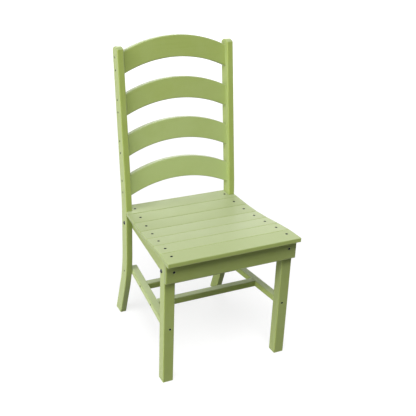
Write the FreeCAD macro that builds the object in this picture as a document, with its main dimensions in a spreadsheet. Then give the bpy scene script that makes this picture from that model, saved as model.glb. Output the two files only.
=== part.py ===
import FreeCAD, Part
import math
import os
import Sketcher

# A ladderback side chair made of flat boards.
# X runs from left to right as seen by someone facing its front, Y to the rear and Z up.
# The origin is on the floor, midway between the seat's front edge and the rear feet.
# Sketches count Y from the front legs' front faces; each body is then moved to the origin.

doc = FreeCAD.newDocument("LadderbackChair")
sheet = doc.addObject("Spreadsheet::Sheet", "Sizes")

sizes = {
    # Seat: seven boards over all, each joint between two of them this far below the front edge
    "seat_height": 457,
    "dip_1": 0,
    "dip_2": 5.5,
    "dip_3": 12.5,
    "dip_4": 17,
    "dip_5": 17,
    "dip_6": 14,
    "dip_7": 10.5,
    "seat_half": 231.5,
    "nose_over": 37,
    "nose_board": 69,
    "seat_tail": 43,
    "board_thick": 15,
    "board_gap": 1,
    "board_round": 2,
    "notch_gap": 0.5,
    # Front legs and apron, each set in from the seat's side edge
    "leg_inset": 5.5,
    "leg_side": 36,
    "leg_round": 3,
    "apron_inset": 2.5,
    "apron_thick": 16.5,
    "apron_high": 67,
    "apron_round": 3,
    # Back posts, each a rear leg and an upright in one board
    "back_half": 208,
    "post_thick": 22,
    "post_deep": 45.5,
    "post_front": 376,
    "post_rise": 522,
    "knee_low": 198,
    "knee_over_seat": 2,
    "foot_angle": 19.5,
    "lean_angle": 7.7,
    "bend_low": 420,
    "bend_high": 860,
    "crown_radius": 33,
    "post_round": 3,
    # Back slats; the lowest and highest are placed from the leaning part's two ends
    "slat_thick": 22,
    "slat_high": 72,
    "slat_rise": 44,
    "slat_first": 32,
    "slat_last": 82.2,
    "slat_setback": 16.5,
    "slat_round": 3,
    # Side rails under the seat, set into the front legs
    "rail_thick": 25,
    "rail_high": 67,
    "rail_inset": 14,
    "rail_round": 2,
    # Stretchers
    "stretch_wide": 26,
    "stretch_high": 22,
    "stretch_top": 210.5,
    "stretch_inset": 8.5,
    "stretch_tail": 31,
    "stretch_round": 3,
    "cross_front": 145,
    "cross_before_post": 108,
    # Screws
    "screw_head": 7,
    "screw_shank": 4,
    "screw_head_tall": 2.4,
    "screw_sink": 0.1,
    "screw_drive": 2.8,
    "screw_drive_deep": 1.4,
    "screw_tip": 5,
    "screw_long": 38,
    "cross_screw_long": 52,
    "leg_screw_long": 62,
    "slat_screw_low": 14.5,
    "slat_screw_apart": 41,
    "nose_screw": 6,
    "post_screw_back": 24,
    # Seat screws, with wider heads
    "deck_head": 9,
    "deck_head_tall": 2.8,
    "deck_shank": 4,
    "deck_sink": 0.1,
    "deck_drive": 3.4,
    "deck_drive_deep": 1.6,
    "deck_tip": 5,
    "deck_long": 38,
    # Apron bolts, their heads sunk in the board
    "bolt_head": 8,
    "bolt_head_tall": 5,
    "bolt_shank": 5,
    "bolt_drive": 4,
    "bolt_drive_deep": 3,
    "bolt_tip": 2,
    "bolt_sink": 0.8,
    "bolt_long": 45,
    # Rail bolts, their domed heads standing on the legs and posts
    "dome_head": 14,
    "dome_head_tall": 4,
    "dome_shank": 6,
    "dome_drive": 4,
    "dome_drive_deep": 2.2,
    "dome_tip": 2,
    "dome_long": 37,
    # Bolt places, their heights taken from the rails' lower edge
    "leg_bolt_back": 25,
    "leg_bolt_up": 26.5,
    "post_bolt_back": 20,
    "post_bolt_up": 18,
    "apron_bolt_up": 38,
    # Room around a head in its recess and around a shank in its hole
    "head_gap": 0.4,
    "shank_gap": 0.05,
    # How far a cut reaches past the piece it trims or recesses
    "spare": 20,
}
for row, (name, number) in enumerate(sizes.items(), start=1):
    sheet.set(f"A{row}", name)
    sheet.set(f"B{row}", str(number))
    sheet.setAlias(f"B{row}", name)
doc.recompute()

board_count = 7
slat_count = 4


def size(name):
    return f"Sizes.{name}"


def number(text):
    return float(sheet.evalExpression(text.replace("Sizes.", "")))


def place(piece, x="0", y="0", z="0", tilt="0"):
    spot = f"vector({x}; ({y}) - ({mid_y}); {z})"
    turn = f"rotation(vector(1; 0; 0); {tilt})"
    piece.setExpression("Placement", f"placement({spot}; {turn})")


def new_body(label):
    body = doc.addObject("PartDesign::Body", label)
    body.Label = label
    return body


def new_sketch(body, name, role, offset="0"):
    sketch = body.newObject("Sketcher::SketchObject", f"{body.Name}_{name}")
    plane = [item for item in body.Origin.OriginFeatures if item.Role == role][0]
    sketch.AttachmentSupport = [(plane, "")]
    sketch.MapMode = "FlatFace"
    sketch.setExpression(".AttachmentOffset.Base.z", offset)
    return sketch


def hold(sketch, kind, geometry, point, text):
    index = sketch.addConstraint(
        Sketcher.Constraint(kind, -1, 1, geometry, point, number(text))
    )
    name = f"{kind}_{geometry}_{point}"
    sketch.renameConstraint(index, name)
    sketch.setExpression(f"Constraints.{name}", text)


def draw_outline(sketch, corners, arcs=None):
    """Closed outline through corners; arcs maps a side to (radius, bulge sign)."""
    arcs = arcs or {}
    first = len(sketch.Geometry)
    spots = [FreeCAD.Vector(number(x), number(y), 0) for x, y in corners]
    total = len(spots)
    # An arc that bulges to the left of its side runs clockwise, so its ends swap
    ends = [(1, 2)] * total
    for side in range(total):
        start = spots[side]
        end = spots[(side + 1) % total]
        if side in arcs:
            radius, sign = arcs[side]
            reach = number(radius)
            half = (end - start).Length / 2
            left = FreeCAD.Vector(start.y - end.y, end.x - start.x, 0).normalize()
            middle = (start + end) / 2 - left * sign * math.sqrt(reach**2 - half**2)
            if sign > 0:
                start, end = end, start
                ends[side] = (2, 1)
            angles = [math.atan2(spot.y - middle.y, spot.x - middle.x) for spot in (start, end)]
            circle = Part.Circle(middle, FreeCAD.Vector(0, 0, 1), reach)
            sketch.addGeometry(Part.ArcOfCircle(circle, *angles), False)
        else:
            sketch.addGeometry(Part.LineSegment(start, end), False)
    for side in range(total):
        after = (side + 1) % total
        sketch.addConstraint(Sketcher.Constraint(
            "Coincident", first + side, ends[side][1], first + after, ends[after][0]
        ))
    for side, (x, y) in enumerate(corners):
        hold(sketch, "DistanceX", first + side, ends[side][0], x)
        hold(sketch, "DistanceY", first + side, ends[side][0], y)
    for side, (radius, sign) in arcs.items():
        index = sketch.addConstraint(
            Sketcher.Constraint("Radius", first + side, number(radius))
        )
        sketch.renameConstraint(index, f"Radius_{first + side}")
        sketch.setExpression(f"Constraints.Radius_{first + side}", radius)
    doc.recompute()


def draw_circles(sketch, spots, diameter):
    for x, y in spots:
        index = len(sketch.Geometry)
        middle = FreeCAD.Vector(number(x), number(y), 0)
        circle = Part.Circle(middle, FreeCAD.Vector(0, 0, 1), number(diameter) / 2)
        sketch.addGeometry(circle, False)
        hold(sketch, "DistanceX", index, 3, x)
        hold(sketch, "DistanceY", index, 3, y)
        bound = sketch.addConstraint(
            Sketcher.Constraint("Diameter", index, number(diameter))
        )
        sketch.renameConstraint(bound, f"Diameter_{index}")
        sketch.setExpression(f"Constraints.Diameter_{index}", diameter)
    doc.recompute()


def pad(body, sketch, length, both_ways=False, turned=False):
    feature = body.newObject("PartDesign::Pad", f"{sketch.Name}_pad")
    feature.Profile = sketch
    feature.setExpression("Length", length)
    feature.SideType = "Symmetric" if both_ways else "One side"
    feature.Reversed = turned
    doc.recompute()
    return feature


def cut(body, sketch, length=None, turned=False):
    before = body.Shape.Volume
    feature = body.newObject("PartDesign::Pocket", f"{sketch.Name}_cut")
    feature.Profile = sketch
    feature.Reversed = turned
    if length is None:
        feature.Type = "ThroughAll"
    else:
        feature.setExpression("Length", length)
    doc.recompute()
    if not feature.Shape.Volume < before - 0.01:
        raise ValueError(f"{feature.Name} removes nothing")
    return feature


def soften(body, radius, wanted, name="soft"):
    base = body.Tip
    edges = [
        f"Edge{index}"
        for index, edge in enumerate(base.Shape.Edges, start=1)
        if wanted(edge)
    ]
    feature = body.newObject("PartDesign::Fillet", f"{body.Name}_{name}")
    feature.Base = (base, edges)
    feature.setExpression("Radius", radius)
    doc.recompute()
    return feature


def spread(edge):
    box = edge.BoundBox
    return box.XLength, box.YLength, box.ZLength


def runs_along_x(edge):
    x, y, z = spread(edge)
    return x > 1 and y < 0.01 and z < 0.01


def near(value, target, room=0.05):
    return abs(value - target) < room


holes = {}


def sunk(kind):
    """How far a head's top lies below the board's face; a domed head stands on the face."""
    return f"(-{size('dome_head_tall')})" if kind == "dome" else size(kind + "_sink")


def head_depth(kind):
    return f"({sunk(kind)} + {size(kind + '_head_tall')})"


def shank_hole(kind):
    return f"{size(kind + '_shank')} + 2 * {size('shank_gap')}"


def fastener_holes(group, kind, body, name, role, offset, spots, turned=False):
    """Clearance hole for each fastener, recessed for a sunk head, noted for placing the group."""
    if kind != "dome":
        # The recess starts clear of the face, so that it's also open where the face slopes
        clear = f"{offset} {'-' if turned else '+'} {size('spare')}"
        heads = new_sketch(body, f"{name}_heads", role, clear)
        draw_circles(heads, spots, f"{size(kind + '_head')} + 2 * {size('head_gap')}")
        cut(body, heads, f"{head_depth(kind)} + {size('spare')}", turned)
    shanks = new_sketch(body, f"{name}_shanks", role, offset)
    draw_circles(shanks, spots, shank_hole(kind))
    cut(body, shanks, None, turned)
    holes.setdefault(group, []).append((shanks, turned, kind))


def pilot_holes(kind, body, name, role, offset, spots, length, turned=False):
    sketch = new_sketch(body, f"{name}_pilots", role, offset)
    draw_circles(sketch, spots, shank_hole(kind))
    cut(body, sketch, length, turned)


# Lines and places that several pieces share

sweep = f"{size('foot_angle')} * 1 deg"
lean = f"{size('lean_angle')} * 1 deg"
knee_high = f"({size('seat_height')} + {size('knee_over_seat')})"
foot_front = f"({size('post_front')} + {size('knee_low')} * tan({sweep}))"
foot_back = f"({foot_front} + {size('post_deep')} / cos({sweep}))"
mid_y = f"({foot_back} - {size('nose_over')}) / 2"
post_inner = f"({size('back_half')} - {size('post_thick')})"
leg_half = f"({size('seat_half')} - {size('leg_inset')})"
apron_half = f"({size('seat_half')} - {size('apron_inset')})"
rail_half = f"({leg_half} - {size('rail_inset')})"
stretch_half = f"({leg_half} - {size('stretch_inset')})"
under_nose = f"({size('seat_height')} - {size('board_thick')})"
apron_bottom = f"({under_nose} - {size('apron_high')})"
rail_bottom = f"({under_nose} - {size('rail_high')})"
above_seat = f"({size('seat_height')} + {size('spare')})"


def along_post(behind, up):
    """Point behind the post's front face and up the leaning part, as Y and Z."""
    y = f"{size('post_front')} + ({up}) * sin({lean}) + ({behind}) * cos({lean})"
    z = f"{knee_high} + ({up}) * cos({lean}) - ({behind}) * sin({lean})"
    return f"({y})", f"({z})"


def joint_y(joint):
    if joint == 0:
        return f"(-{size('nose_over')})"
    start = f"({size('nose_board')} - {size('nose_over')})"
    run = f"({size('post_front')} + {size('seat_tail')} - {start})"
    return f"({start} + {joint - 1} * {run} / {board_count - 1})"


def joint_z(joint):
    if joint == 0:
        return size("seat_height")
    return f"({size('seat_height')} - {size(f'dip_{joint}')})"


def board_top(board, y):
    rise = f"({joint_z(board + 1)} - {joint_z(board)})"
    run = f"({joint_y(board + 1)} - {joint_y(board)})"
    return f"({joint_z(board)} + (({y}) - {joint_y(board)}) * {rise} / {run})"


def line_x(y, x_from, y_from, x_to, y_to):
    """Half width at y on a straight splayed line in plan."""
    return f"({x_from} + (({y}) - ({y_from})) * (({x_to}) - ({x_from})) / (({y_to}) - ({y_from})))"


def seat_side(y):
    nose = f"-{size('nose_over')}"
    return line_x(y, size("seat_half"), nose, size("back_half"), size("post_front"))


def rail_side(y):
    return line_x(y, rail_half, size("leg_side"), post_inner, size("post_front"))


stretch_bottom = f"({size('stretch_top')} - {size('stretch_high')})"
stretch_middle = f"({size('stretch_top')} - {size('stretch_high')} / 2)"
tail_start = f"({size('post_front')} + ({size('knee_low')} - {stretch_bottom}) * tan({sweep}))"
tail_end = f"({tail_start} + {size('stretch_tail')})"


def stretcher_side(y):
    return line_x(y, stretch_half, size("leg_side"), post_inner, tail_start)


def seat_screw_spot(board):
    y = f"(({joint_y(board)} + {joint_y(board + 1)}) / 2)" if board else size("nose_screw")
    x = f"({rail_side(y)} - {size('rail_thick')} / 2)"
    return x, y


slat_middle = f"({size('slat_setback')} + {size('slat_thick')} / 2)"
slat_reach = f"({size('post_rise')} / cos({lean}) - {size('slat_first')} - {size('slat_last')})"
slat_ends = [
    f"({size('slat_first')} + {slat} * {slat_reach} / {slat_count - 1})"
    for slat in range(slat_count)
]
slat_screws = [
    f"{end} + {size('slat_screw_low')} + {pair} * {size('slat_screw_apart')}"
    for end in slat_ends
    for pair in range(2)
]
post_bolt = (
    f"({size('post_front')} + {size('post_bolt_back')})",
    f"({rail_bottom} + {size('post_bolt_up')})",
)
leg_bolt = (size("leg_bolt_back"), f"({rail_bottom} + {size('leg_bolt_up')})")
apron_bolt_z = f"({rail_bottom} + {size('apron_bolt_up')})"
apron_bolt_x = f"({rail_side('0')} - {size('rail_thick')} / 2)"
leg_screw_x = f"({stretch_half} - {size('stretch_wide')} / 2)"
post_screw = (f"({tail_start} + {size('post_screw_back')})", stretch_middle)
cross_starts = {
    "front": size("cross_front"),
    "back": f"({size('post_front')} - {size('cross_before_post')})",
}
cross_middles = {
    name: f"({start} + {size('stretch_wide')} / 2)" for name, start in cross_starts.items()
}
sides = {"left": -1, "right": 1}

nodes = []

# Back posts: rear leg and upright cut from one board, bent twice, crowned on top

post_top = f"({knee_high} + {size('post_rise')})"
top_front = f"({size('post_front')} + {size('post_rise')} * tan({lean}))"
deep = size("post_deep")
post_corners = [
    (foot_front, "0"),
    (size("post_front"), size("knee_low")),
    (size("post_front"), knee_high),
    (top_front, post_top),
    (f"{top_front} + {deep} * cos({lean})", f"{post_top} - {deep} * sin({lean})"),
    (f"{size('post_front')} + {deep}", f"{knee_high} - {deep} * tan({lean} / 2)"),
    (f"{size('post_front')} + {deep}", f"{size('knee_low')} + {deep} * tan({sweep} / 2)"),
    (foot_back, "0"),
]


def bend(body, corner, radius, name):
    y, z = (number(text) for text in post_corners[corner])

    def at_corner(edge):
        middle = edge.CenterOfMass
        return runs_along_x(edge) and near(middle.y, y) and near(middle.z, z)

    soften(body, radius, at_corner, name)


for side, sign in sides.items():
    turned = sign > 0
    post = new_body(f"back_post_{side}")
    place(post, x=f"{sign} * {size('back_half')}")
    outline = new_sketch(post, "outline", "YZ_Plane")
    draw_outline(outline, post_corners, {3: (size("crown_radius"), 1)})
    pad(post, outline, size("post_thick"), turned=turned)
    bend(post, 1, f"{size('bend_low')} + {deep}", "front_low")
    bend(post, 2, f"{size('bend_high')} + {deep}", "front_high")
    bend(post, 5, size("bend_high"), "rear_high")
    bend(post, 6, size("bend_low"), "rear_low")
    crown_low = number(post_corners[4][1]) - 1

    def rounded(edge):
        height = edge.CenterOfMass.z
        return height > crown_low if runs_along_x(edge) else height > 1

    soften(post, size("post_round"), rounded)
    slat_spots = [along_post(slat_middle, up) for up in slat_screws]
    fastener_holes(
        "slat_screws", "screw", post, "slat", "YZ_Plane", "0", slat_spots, not turned
    )
    fastener_holes(
        "post_screws", "screw", post, "stretcher", "YZ_Plane", "0", [post_screw], not turned
    )
    fastener_holes(
        "rail_bolts", "dome", post, "rail", "YZ_Plane", "0", [post_bolt], not turned
    )
    nodes.append(post)

# Back slats: flat boards arched along both long edges, set between the posts

arch = f"(({post_inner}) ^ 2 + {size('slat_rise')} ^ 2) / (2 * {size('slat_rise')})"
slat_corners = [
    (f"-{post_inner}", "0"),
    (post_inner, "0"),
    (post_inner, size("slat_high")),
    (f"-{post_inner}", size("slat_high")),
]
for slat in range(slat_count):
    piece = new_body(f"back_slat_{slat + 1}")
    y, z = along_post(slat_middle, slat_ends[slat])
    place(piece, y=y, z=z, tilt=f"-{size('lean_angle')}")
    outline = new_sketch(piece, "outline", "XZ_Plane")
    draw_outline(outline, slat_corners, {0: (arch, 1), 2: (arch, -1)})
    pad(piece, outline, size("slat_thick"), both_ways=True)
    soften(piece, size("slat_round"), lambda edge: spread(edge)[0] > number(post_inner))
    pairs = [
        ("0", f"{size('slat_screw_low')} + {pair} * {size('slat_screw_apart')}")
        for pair in range(2)
    ]
    for side, sign in sides.items():
        start = f"{sign} * ({size('back_half')} - {size('screw_sink')})"
        pilot_holes(
            "screw", piece, side, "YZ_Plane", start, pairs, size("screw_long"), sign < 0
        )
    nodes.append(piece)

# Seat boards: the front one overhangs the apron, the rear one is notched for the posts

for board in range(board_count):
    piece = new_body(f"seat_board_{board + 1}")
    place(piece)
    front_gap = "0" if board == 0 else f"{size('board_gap')} / 2"
    back_gap = "0" if board == board_count - 1 else f"{size('board_gap')} / 2"
    front = f"({joint_y(board)} + {front_gap})"
    back = f"({joint_y(board + 1)} - {back_gap})"
    thick = size("board_thick")
    far = f"({size('seat_half')} + {size('spare')})"
    section = new_sketch(piece, "section", "YZ_Plane")
    draw_outline(section, [
        (front, board_top(board, front)),
        (front, f"{board_top(board, front)} - {thick}"),
        (back, f"{board_top(board, back)} - {thick}"),
        (back, board_top(board, back)),
    ])
    pad(piece, section, f"2 * {far}", both_ways=True)
    before = f"({front} - 1)"
    after = f"({back} + 1)"
    notch = f"({size('post_front')} - {size('notch_gap')})"
    between = f"({post_inner} - {size('notch_gap')})"
    trim = new_sketch(piece, "trim", "XY_Plane", above_seat)
    for sign in sides.values():
        if board < board_count - 1:
            edge_line = [(seat_side(before), before), (seat_side(after), after)]
        else:
            edge_line = [
                (seat_side(before), before),
                (seat_side(notch), notch),
                (between, notch),
                (between, after),
            ]
        corners = edge_line + [(far, after), (far, before)]
        draw_outline(trim, [(f"{sign} * {x}", y) for x, y in corners])
    cut(piece, trim)
    soften(piece, size("board_round"), lambda edge: True)
    x, y = seat_screw_spot(board)
    fastener_holes(
        "seat_screws", "deck", piece, "rail", "XY_Plane", board_top(board, y),
        [(f"{sign} * {x}", y) for sign in sides.values()]
    )
    nodes.append(piece)

# Side rails: splayed in plan, dished along the top, their rear ends faced to the posts

rear = joint_y(board_count)
for side, sign in sides.items():
    rail = new_body(f"seat_rail_{side}")
    place(rail)
    plan = new_sketch(rail, "plan", "XY_Plane", rail_bottom)
    corners = [
        (rail_side("0"), "0"),
        (post_inner, size("post_front")),
        (post_inner, rear),
        (f"{rail_side(rear)} - {size('rail_thick')}", rear),
        (f"{rail_side('0')} - {size('rail_thick')}", "0"),
    ]
    draw_outline(plan, [(f"{sign} * ({x})", y) for x, y in corners])
    pad(rail, plan, f"{size('seat_height')} - {rail_bottom}")
    dish = new_sketch(rail, "dish", "YZ_Plane")
    before = f"(-{size('spare')})"
    beyond = f"({rear} + {size('spare')})"
    line = [(before, board_top(0, before))]
    line += [(joint_y(joint), joint_z(joint)) for joint in range(1, board_count)]
    line += [(beyond, board_top(board_count - 1, beyond))]
    corners = [(y, f"{z} - {size('board_thick')}") for y, z in line]
    corners += [(beyond, above_seat), (before, above_seat)]
    draw_outline(dish, corners)
    cut(rail, dish, turned=sign > 0)
    low = number(rail_bottom)
    soften(
        rail,
        size("rail_round"),
        lambda edge: near(edge.CenterOfMass.z, low) and not runs_along_x(edge),
    )
    for board in range(board_count):
        x, y = seat_screw_spot(board)
        start = f"{board_top(board, y)} - {size('deck_sink')}"
        pilot_holes(
            "deck", rail, f"board_{board + 1}", "XY_Plane", start,
            [(f"{sign} * {x}", y)], size("deck_long")
        )
    post_face = f"{sign} * {size('back_half')}"
    pilot_holes(
        "dome", rail, "post", "YZ_Plane", post_face, [post_bolt], size("dome_long"), sign < 0
    )
    leg_face = f"{sign} * {leg_half}"
    pilot_holes(
        "dome", rail, "leg", "YZ_Plane", leg_face, [leg_bolt], size("dome_long"), sign < 0
    )
    apron_face = f"{size('apron_thick')} - {head_depth('bolt')}"
    pilot_holes(
        "bolt", rail, "apron", "XZ_Plane", apron_face,
        [(f"{sign} * {apron_bolt_x}", apron_bolt_z)], size("bolt_long")
    )
    nodes.append(rail)

# Front legs: square, notched inside at the top for the rails

for side, sign in sides.items():
    leg = new_body(f"front_leg_{side}")
    place(leg)
    plan = new_sketch(leg, "plan", "XY_Plane")
    inner = f"({leg_half} - {size('leg_side')})"
    corners = [
        (leg_half, "0"),
        (leg_half, size("leg_side")),
        (inner, size("leg_side")),
        (inner, "0"),
    ]
    draw_outline(plan, [(f"{sign} * {x}", y) for x, y in corners])
    pad(leg, plan, under_nose)
    soften(leg, size("leg_round"), lambda edge: edge.CenterOfMass.z > 1)
    notch = new_sketch(leg, "notch", "XY_Plane", rail_bottom)
    behind = f"({size('leg_side')} + 1)"
    corners = [
        (rail_side("-1"), "-1"),
        (rail_side(behind), behind),
        (f"({inner} - 1)", behind),
        (f"({inner} - 1)", "-1"),
    ]
    draw_outline(notch, [(f"{sign} * {x}", y) for x, y in corners])
    cut(leg, notch, turned=True)
    fastener_holes(
        "rail_bolts", "dome", leg, "rail", "YZ_Plane", f"{sign} * {leg_half}",
        [leg_bolt], sign < 0
    )
    fastener_holes(
        "leg_screws", "screw", leg, "stretcher", "XZ_Plane", "0",
        [(f"{sign} * {leg_screw_x}", stretch_middle)]
    )
    nodes.append(leg)

# Apron: one board across the legs' front faces

apron = new_body("front_apron")
place(apron)
plan = new_sketch(apron, "plan", "XY_Plane", apron_bottom)
draw_outline(plan, [
    (f"-{apron_half}", f"-{size('apron_thick')}"),
    (apron_half, f"-{size('apron_thick')}"),
    (apron_half, "0"),
    (f"-{apron_half}", "0"),
])
pad(apron, plan, size("apron_high"))
soften(apron, size("apron_round"), lambda edge: True)
fastener_holes(
    "apron_bolts", "bolt", apron, "rail", "XZ_Plane", size("apron_thick"),
    [(f"{sign} * {apron_bolt_x}", apron_bolt_z) for sign in sides.values()]
)
nodes.append(apron)

# Side stretchers: splayed like the rails, from the legs' rear faces to the posts

for side, sign in sides.items():
    stretcher = new_body(f"side_stretcher_{side}")
    place(stretcher)
    plan = new_sketch(stretcher, "plan", "XY_Plane", stretch_bottom)
    wide = size("stretch_wide")
    corners = [
        (stretch_half, size("leg_side")),
        (post_inner, tail_start),
        (post_inner, tail_end),
        (f"({stretcher_side(tail_end)} - {wide})", tail_end),
        (f"({stretch_half} - {wide})", size("leg_side")),
    ]
    draw_outline(plan, [(f"{sign} * {x}", y) for x, y in corners])
    pad(stretcher, plan, size("stretch_high"))
    soften(
        stretcher,
        size("stretch_round"),
        lambda edge: spread(edge)[2] < 0.01 and not runs_along_x(edge),
    )
    for name, middle in cross_middles.items():
        fastener_holes(
            "cross_screws", "screw", stretcher, name, "YZ_Plane",
            f"{sign} * {stretcher_side(middle)}", [(middle, stretch_middle)], sign < 0
        )
    pilot_holes(
        "screw", stretcher, "leg", "XZ_Plane", f"-{size('screw_sink')}",
        [(f"{sign} * {leg_screw_x}", stretch_middle)], size("leg_screw_long")
    )
    pilot_holes(
        "screw", stretcher, "post", "YZ_Plane",
        f"{sign} * ({size('back_half')} - {size('screw_sink')})",
        [post_screw], size("screw_long"), sign < 0
    )
    nodes.append(stretcher)

# Cross stretchers: between the side stretchers, their ends cut to the splay

for name, middle in cross_middles.items():
    cross = new_body(f"cross_stretcher_{name}")
    place(cross)
    wide = size("stretch_wide")
    plan = new_sketch(cross, "plan", "XY_Plane", stretch_bottom)
    near_y = cross_starts[name]
    far_y = f"({near_y} + {wide})"
    draw_outline(plan, [
        (f"-({stretcher_side(near_y)} - {wide})", near_y),
        (f"{stretcher_side(near_y)} - {wide}", near_y),
        (f"{stretcher_side(far_y)} - {wide}", far_y),
        (f"-({stretcher_side(far_y)} - {wide})", far_y),
    ])
    pad(cross, plan, size("stretch_high"))
    soften(cross, size("stretch_round"), runs_along_x)
    for side, sign in sides.items():
        start = f"{sign} * ({stretcher_side(middle)} - {size('screw_sink')})"
        pilot_holes(
            "screw", cross, side, "YZ_Plane", start, [(middle, stretch_middle)],
            size("cross_screw_long"), sign < 0
        )
    nodes.append(cross)

# Fasteners: one pattern piece each, copied to every hole of its group


def fastener_pattern(name, kind, length, drive_sides):
    body = new_body(name)
    profile = new_sketch(body, "profile", "XZ_Plane")
    head = f"{size(kind + '_head')} / 2"
    tall = size(kind + "_head_tall")
    shank = f"{size(kind + '_shank')} / 2"
    rim = [] if kind == "dome" else [(head, "0")]
    dome = f"(({head}) ^ 2 + {tall} ^ 2) / (2 * {tall})"
    draw_outline(profile, [
        ("0", "0"),
        *rim,
        (head, f"-{tall}"),
        (shank, f"-{tall}"),
        (shank, f"{size(kind + '_tip')} - {length}"),
        ("0", f"-{length}"),
    ], {0: (dome, 1)} if kind == "dome" else None)
    turning = body.newObject("PartDesign::Revolution", f"{name}_turning")
    turning.Profile = profile
    turning.ReferenceAxis = (profile, ["V_Axis"])
    turning.Angle = 360
    doc.recompute()
    drive = new_sketch(body, "drive", "XY_Plane")
    reach = f"{size(kind + '_drive')} / (2 * cos({180 / drive_sides} deg))"
    draw_outline(drive, [
        (
            f"{reach} * cos({(corner + 0.5) * 360 / drive_sides} deg)",
            f"{reach} * sin({(corner + 0.5) * 360 / drive_sides} deg)",
        )
        for corner in range(drive_sides)
    ])
    cut(body, drive, size(kind + "_drive_deep"))
    return body


short_screw = fastener_pattern("short_screw", "screw", size("screw_long"), 4)
deck_screw = fastener_pattern("deck_screw", "deck", size("deck_long"), 4)
cross_screw = fastener_pattern("cross_screw", "screw", size("cross_screw_long"), 4)
leg_screw = fastener_pattern("leg_screw", "screw", size("leg_screw_long"), 4)
sunk_bolt = fastener_pattern("sunk_bolt", "bolt", size("bolt_long"), 6)
domed_bolt = fastener_pattern("domed_bolt", "dome", size("dome_long"), 6)
patterns = {
    "slat_screws": short_screw,
    "seat_screws": deck_screw,
    "post_screws": short_screw,
    "cross_screws": cross_screw,
    "leg_screws": leg_screw,
    "rail_bolts": domed_bolt,
    "apron_bolts": sunk_bolt,
}
for group, pattern in patterns.items():
    copies = []
    for sketch, turned, kind in holes[group]:
        frame = sketch.getGlobalPlacement()
        inward = frame.Rotation.multVec(FreeCAD.Vector(0, 0, 1 if turned else -1))
        for circle in sketch.Geometry:
            top = frame.multVec(circle.Center) + inward * number(sunk(kind))
            turn = FreeCAD.Rotation(FreeCAD.Vector(0, 0, -1), inward)
            copy = pattern.Shape.copy()
            copy.Placement = FreeCAD.Placement(top, turn)
            copies.append(copy)
    fasteners = doc.addObject("Part::Feature", group)
    fasteners.Label = group
    fasteners.Shape = Part.makeCompound(copies)
    nodes.append(fasteners)

doc.recompute()
for item in doc.Objects:
    if "Invalid" in item.State or "Error" in item.State:
        raise ValueError(f"{item.Name} did not build")

os.makedirs("parts", exist_ok=True)
for node in nodes:
    if node.Shape.isNull() or not node.Shape.isValid():
        raise ValueError(f"{node.Label} has no sound shape")
    node.Shape.exportStep(f"parts/{node.Label}.step")
    print(node.Label, len(node.Shape.Solids), round(node.Shape.Volume))
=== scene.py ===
import math

import bpy
from mathutils import Matrix, Vector

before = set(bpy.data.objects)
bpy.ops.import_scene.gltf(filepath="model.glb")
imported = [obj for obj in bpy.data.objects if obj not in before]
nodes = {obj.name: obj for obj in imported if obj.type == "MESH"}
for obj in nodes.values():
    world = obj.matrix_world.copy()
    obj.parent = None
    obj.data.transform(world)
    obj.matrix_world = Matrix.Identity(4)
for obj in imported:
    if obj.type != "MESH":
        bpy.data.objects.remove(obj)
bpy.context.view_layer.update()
print("frame loaded:", len(nodes), "nodes")


def hexToLinear(code):
    channels = [int(code[place:place + 2], 16) / 255 for place in (1, 3, 5)]
    linear = [c / 12.92 if c <= 0.04045 else ((c + 0.055) / 1.055) ** 2.4 for c in channels]
    return (*linear, 1.0)


# adds one node; inputs take a plain value or another node's output socket
def addNode(tree, kind, settings=None, inputs=None):
    node = tree.nodes.new(kind)
    for name, value in (settings or {}).items():
        setattr(node, name, value)
    for name, value in (inputs or {}).items():
        if isinstance(value, bpy.types.NodeSocket):
            tree.links.new(value, node.inputs[name])
        else:
            node.inputs[name].default_value = value
    return node


# a map range's four limits as its inputs
def ramp(limits):
    return dict(zip(("From Min", "From Max", "To Min", "To Max"), limits))


# 1 for rays that show a surface to the eye, in a reflection or through glass, 0 for its light
def shownRays(tree):
    rays = addNode(tree, "ShaderNodeLightPath").outputs
    direct = addNode(tree, "ShaderNodeMath", {"operation": "MAXIMUM"}, {
        0: rays["Is Camera Ray"], 1: rays["Is Glossy Ray"],
    })
    shown = addNode(tree, "ShaderNodeMath", {"operation": "MAXIMUM"}, {
        0: direct.outputs[0], 1: rays["Is Transmission Ray"],
    })
    return shown.outputs[0]


def newMaterial(name):
    material = bpy.data.materials.new(name)
    material.use_nodes = True
    tree = material.node_tree
    tree.nodes.clear()
    return material, tree


def dress(node, material):
    for slot in node.material_slots:
        slot.material = material


# Recycled polyethylene lumber: extruded planks, coloured right through, then sawn and routed.
# The skin gives a soft, waxy sheen; the flow of the melt leaves faint streaks along each plank.
lumber = {
    "colour": "#94A352",
    "roughness": (0.42, 0.56),
    "ior": 1.54,
    "specular": 0.15,
    "sheen": 0.55,                  # the waxy bloom that pales the plastic at a low angle
    "sheenRoughness": 0.45,
    "meltShift": (1.37, 0.73, 2.11),        # metres from one plank's stretch of melt to the next one's
    # sizes in metres, along and across the plank
    "streakSize": (0.260, 0.005, 0.005),    # real streaks are 1 to 3 mm wide, drawn coarser to show
    "bloomSize": 0.070,
    "grainSize": (0.040, 0.0024, 0.0024),   # brushed grain, really about 0.5 mm wide, drawn coarser
    "grainDepth": 0.00010,
    "edgeRadius": 0.0035,
}
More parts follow.
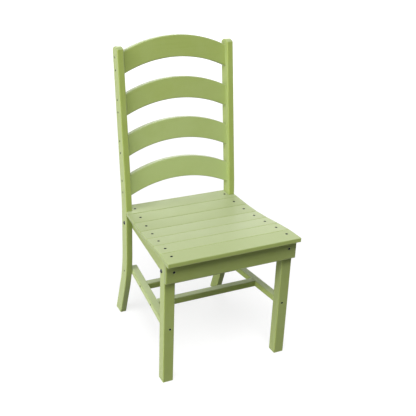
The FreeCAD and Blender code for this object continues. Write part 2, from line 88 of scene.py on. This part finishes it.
# colours laid over the plain one, each with its mask: from low to high, the share of colour there
layers = {
    "streak": {"colour": "#8A9C48", "mask": (0.42, 0.72, 0.0, 0.40)},      # darker lines of melt
    "bloom": {"colour": "#9BA963", "mask": (0.40, 0.75, 0.0, 0.45)},       # slightly chalky patches
    "paintedSlatLight": {"colour": "#A8B876", "mask": (0.20, 0.60, 0.75, 1.0)},      # slats painted paler and greyer, painted light, strongest on the low slats
    "paintedTopLight": {"colour": "#8F9B6B", "mask": (0.10, 0.65, 0.0, 0.7)},    # upward faces painted paler and greyer, a painted sheen of the light from above
    "sawn": {"colour": "#87964E", "mask": (0.90, 0.97, 0.0, 0.8)},         # cross-cut ends, rougher, darker
    "paintedEdgeHighlight": {"colour": "#ADB985", "mask": (0.99, 0.90, 0.0, 0.6)},       # rounded edges painted paler, a painted highlight
}
# painted light: the low slats are painted palest
slatPaintedLight = {"back_slat_1": 1.0, "back_slat_2": 0.8, "back_slat_3": 0.4, "back_slat_4": 0.2}
# painted light and shade: each listed plank's colours are scaled lighter or darker for the light and shade
# falling on it, such as the apron darkened in the shadow of the seat's nose
plankPaintedLight = {
    "front_apron": 0.84,
    "front_leg_left": 0.97,
    "front_leg_right": 0.89,
    "back_post_right": 1.06,
    "seat_board_3": 0.97,
    "seat_board_4": 0.94,
    "seat_board_5": 0.92,
    "seat_board_6": 0.90,
    "seat_board_7": 0.90,
    "side_stretcher_left": 1.10,
    "side_stretcher_right": 1.14,
    "cross_stretcher_front": 1.06,
}


def plankAxes(node):
    # turn that lays X along the plank's long way, found from the spread of its vertices
    points = [vertex.co for vertex in node.data.vertices]
    middle = sum(points, Vector()) / len(points)
    spread = Matrix.Diagonal((0, 0, 0))
    for point in points:
        arm = point - middle
        for row in range(3):
            for column in range(3):
                spread[row][column] += arm[row] * arm[column]
    along = Vector((1, 1, 1))
    turnsToSettle = 40
    for step in range(turnsToSettle):
        along = (spread @ along).normalized()
    return along.to_track_quat("X", "Z")


def polyLumber(node, number):
    look = lumber
    # this plank's painted light and shade, 1 where none is painted
    plankLight = plankPaintedLight.get(node.name, 1.0)
    # share of the painted slat light on this plank
    slatLight = slatPaintedLight.get(node.name, 0.0)

    # scales a colour by the plank's painted light and shade
    def tint(code):
        red, green, blue, alpha = hexToLinear(code)
        return (red * plankLight, green * plankLight, blue * plankLight, alpha)

    material, tree = newMaterial(f"polyLumber_{node.name}")
    turn = plankAxes(node)
    plank = addNode(tree, "ShaderNodeMapping", {"vector_type": "TEXTURE"}, {
        "Vector": addNode(tree, "ShaderNodeTexCoord").outputs["Object"],
        "Location": tuple(number * shift for shift in look["meltShift"]),
        "Rotation": turn.to_euler(),
    }).outputs["Vector"]

    # what each colour follows: streaks and blooms of the melt
    streakPlace = addNode(tree, "ShaderNodeVectorMath", {"operation": "DIVIDE"}, {
        0: plank, 1: look["streakSize"],
    })
    streaks = addNode(tree, "ShaderNodeTexNoise", {}, {
        "Vector": streakPlace.outputs[0], "Scale": 1.0, "Detail": 4.0, "Roughness": 0.55,
    }).outputs["Fac"]
    blooms = addNode(tree, "ShaderNodeTexNoise", {}, {
        "Vector": plank, "Scale": 1 / look["bloomSize"], "Detail": 3.0, "Roughness": 0.6,
    }).outputs["Fac"]

    # faces that look up, which take the painted top light, and sawn ends, which face along the plank
    facing = addNode(tree, "ShaderNodeNewGeometry").outputs["Normal"]
    height = addNode(tree, "ShaderNodeSeparateXYZ", {}, {0: facing}).outputs["Z"]
    endOn = addNode(tree, "ShaderNodeVectorMath", {"operation": "DOT_PRODUCT"}, {
        0: facing, 1: turn @ Vector((1, 0, 0)),
    }).outputs["Value"]
    ends = addNode(tree, "ShaderNodeMath", {"operation": "ABSOLUTE"}, {0: endOn}).outputs[0]

    # rounded-over edges, where the softened normal leaves the true one; they take the painted highlight
    soft = addNode(tree, "ShaderNodeBevel", {"samples": 4}, {"Radius": look["edgeRadius"]})
    edges = addNode(tree, "ShaderNodeVectorMath", {"operation": "DOT_PRODUCT"}, {
        0: soft.outputs[0], 1: facing,
    }).outputs["Value"]

    followed = {
        "streak": streaks, "bloom": blooms, "paintedSlatLight": blooms,
        "paintedTopLight": height, "sawn": ends, "paintedEdgeHighlight": edges,
    }
    colour = tint(look["colour"])
    for name, layer in layers.items():
        low, high, least, most = layer["mask"]
        share = slatLight if name == "paintedSlatLight" else 1.0
        mask = addNode(tree, "ShaderNodeMapRange", {"interpolation_type": "SMOOTHSTEP"}, {
            "Value": followed[name], **ramp((low, high, least * share, most * share)),
        })
        colour = addNode(tree, "ShaderNodeMix", {"data_type": "RGBA"}, {
            0: mask.outputs[0], 6: colour, 7: tint(layer["colour"]),
        }).outputs[2]

    # brushed grain in relief, and gloss that wanders with the blooms
    grainPlace = addNode(tree, "ShaderNodeVectorMath", {"operation": "DIVIDE"}, {
        0: plank, 1: look["grainSize"],
    })
    grain = addNode(tree, "ShaderNodeTexNoise", {}, {
        "Vector": grainPlace.outputs[0], "Scale": 1.0, "Detail": 3.0, "Roughness": 0.6,
    })
    relief = addNode(tree, "ShaderNodeBump", {}, {
        "Height": grain.outputs["Fac"], "Distance": look["grainDepth"], "Strength": 1.0,
    })
    gloss = addNode(tree, "ShaderNodeMapRange", {}, {
        "Value": blooms, **ramp((0.3, 0.7, *look["roughness"])),
    })
    skin = addNode(tree, "ShaderNodeBsdfPrincipled", {}, {
        "Base Color": colour, "Roughness": gloss.outputs[0],
        "IOR": look["ior"], "Specular IOR Level": look["specular"],
        "Sheen Weight": look["sheen"], "Sheen Roughness": look["sheenRoughness"],
        "Normal": relief.outputs[0],
    })
    addNode(tree, "ShaderNodeOutputMaterial", {}, {"Surface": skin.outputs[0]})
    return material


fasteners = {
    "slat_screws", "seat_screws", "post_screws", "cross_screws", "leg_screws",
    "rail_bolts", "apron_bolts",
}
planks = sorted(name for name in nodes if name not in fasteners)
for number, name in enumerate(planks):
    dress(nodes[name], polyLumber(nodes[name], number))
print("lumber dressed:", len(planks), "planks")

# Blackened steel: oxide film over pressed and turned heads, dull grey glints on near-black.
# Film is the size of its patches in metres; each patch is a little rougher or smoother.
steel = {
    "screw": {"colour": "#2A2A2E", "oxide": "#202024", "roughness": (0.47, 0.67), "film": 0.0015},
    "bolt": {"colour": "#46484E", "oxide": "#202024", "roughness": (0.28, 0.48), "film": 0.00225},
}


def blackenedSteel(kind):
    look = steel[kind]
    material, tree = newMaterial(f"blackenedSteel_{kind}")
    film = addNode(tree, "ShaderNodeTexNoise", {}, {
        "Vector": addNode(tree, "ShaderNodeTexCoord").outputs["Object"],
        "Scale": 1 / look["film"], "Detail": 3.0,
    }).outputs["Fac"]
    colour = addNode(tree, "ShaderNodeMix", {"data_type": "RGBA"}, {
        0: film, 6: hexToLinear(look["colour"]), 7: hexToLinear(look["oxide"]),
    })
    gloss = addNode(tree, "ShaderNodeMapRange", {}, {
        "Value": film, **ramp((0.0, 1.0, *look["roughness"])),
    })
    metal = addNode(tree, "ShaderNodeBsdfPrincipled", {}, {
        "Base Color": colour.outputs[2], "Metallic": 1.0, "Roughness": gloss.outputs[0],
    })
    addNode(tree, "ShaderNodeOutputMaterial", {}, {"Surface": metal.outputs[0]})
    return material


screwSteel = blackenedSteel("screw")
boltSteel = blackenedSteel("bolt")
for name in fasteners:
    dress(nodes[name], boltSteel if name == "rail_bolts" else screwSteel)
print("fasteners dressed:", len(fasteners), "sets")

# Studio: painted floor that keeps the chair's shadow and looks white elsewhere.
# Lifts are how much white the eye adds to it, within so many metres and beyond so many.
studio = {
    "floorSize": 40.0,
    "floorDrop": 0.0005,
    "floorColour": "#828282",
    "lift": (1.2, 5.0, 0.76, 1.0),
}
floorMesh = bpy.data.meshes.new("studioFloor")
half = studio["floorSize"] / 2
corners = [(-half, -half, 0), (half, -half, 0), (half, half, 0), (-half, half, 0)]
floorMesh.from_pydata(corners, [], [(0, 1, 2, 3)])
floor = bpy.data.objects.new("studioFloor", floorMesh)
floor.location.z = -studio["floorDrop"]
bpy.context.scene.collection.objects.link(floor)
paint, tree = newMaterial("mattWhiteFloorPaint")
matt = addNode(tree, "ShaderNodeBsdfDiffuse", {}, {"Color": hexToLinear(studio["floorColour"])})
away = addNode(tree, "ShaderNodeVectorMath", {"operation": "LENGTH"}, {
    0: addNode(tree, "ShaderNodeTexCoord").outputs["Object"],
})
lift = addNode(tree, "ShaderNodeMapRange", {"interpolation_type": "SMOOTHSTEP"}, {
    "Value": away.outputs["Value"], **ramp(studio["lift"]),
})
glow = addNode(tree, "ShaderNodeMath", {"operation": "MULTIPLY"}, {
    0: shownRays(tree), 1: lift.outputs[0],
})
white = addNode(tree, "ShaderNodeEmission", {}, {
    "Color": (1, 1, 1, 1), "Strength": glow.outputs[0],
})
both = addNode(tree, "ShaderNodeAddShader", {}, {0: matt.outputs[0], 1: white.outputs[0]})
addNode(tree, "ShaderNodeOutputMaterial", {}, {"Surface": both.outputs[0]})
floorMesh.materials.append(paint)

# Lamps: wide softboxes 9 m from the chair; places and sizes in metres
lamps = {
    "left": {"place": (-8.5, 0.3, 3.43), "size": 6.0, "watts": 610},
    "leftFront": {"place": (-7.6, -2.77, 4.45), "size": 6.0, "watts": 380},
    "above": {"place": (-1.45, -3.97, 8.45), "size": 4.5, "watts": 800},
    "behind": {"place": (2.09, 7.81, 4.45), "size": 4.5, "watts": 280},
    "right": {"place": (8.70, 1.53, 2.06), "size": 4.5, "watts": 420},
}
aimPoint = Vector((0, 0, 0.5))
for name, look in lamps.items():
    lamp = bpy.data.lights.new(f"{name}Softbox", "AREA")
    lamp.shape = "SQUARE"
    lamp.size = look["size"]
    lamp.energy = look["watts"]
    holder = bpy.data.objects.new(f"{name}Softbox", lamp)
    holder.location = look["place"]
    holder.rotation_euler = (aimPoint - holder.location).to_track_quat("-Z", "Y").to_euler()
    holder.visible_camera = False
    bpy.context.scene.collection.objects.link(holder)

# World: a white room that is seen, also in reflections, but gives no light of its own
room = {"light": 0.0, "seen": 1.0}
world = bpy.data.worlds.new("whiteRoom")
world.use_nodes = True
bpy.context.scene.world = world
tree = world.node_tree
tree.nodes.clear()
strength = addNode(tree, "ShaderNodeMapRange", {}, {
    "Value": shownRays(tree), **ramp((0.0, 1.0, room["light"], room["seen"])),
})
sky = addNode(tree, "ShaderNodeBackground", {}, {
    "Color": (1, 1, 1, 1), "Strength": strength.outputs[0],
})
addNode(tree, "ShaderNodeOutputWorld", {}, {"Surface": sky.outputs[0]})
bpy.context.scene.view_settings.view_transform = "Standard"
print("studio lit")

# Camera, fitted to the photograph's own straight edges
cameraPose = {
    "place": (-1.00884, -2.03472, 1.53876),
    "yaw": 26.677,      # degrees, from +Y towards +X
    "pitch": 25.127,    # degrees down
    "roll": 2.224,
    "lens": 65.04,      # mm
    "sensor": 36,       # mm wide
    "shift": (0.00948, 0.00870),
}
yaw, pitch, roll = (math.radians(cameraPose[name]) for name in ("yaw", "pitch", "roll"))
forward = Vector((math.sin(yaw) * math.cos(pitch), math.cos(yaw) * math.cos(pitch), -math.sin(pitch)))
level = Vector((math.cos(yaw), -math.sin(yaw), 0))
upright = level.cross(forward)
right = level * math.cos(roll) + upright * math.sin(roll)
up = upright * math.cos(roll) - level * math.sin(roll)
cameraData = bpy.data.cameras.new("photoCamera")
cameraData.sensor_width = cameraPose["sensor"]
cameraData.lens = cameraPose["lens"]
cameraData.shift_x, cameraData.shift_y = cameraPose["shift"]
camera = bpy.data.objects.new("photoCamera", cameraData)
turned = Matrix((right, up, -forward)).transposed().to_4x4()
camera.matrix_world = Matrix.Translation(cameraPose["place"]) @ turned
bpy.context.scene.collection.objects.link(camera)
bpy.context.scene.camera = camera
print("camera placed")
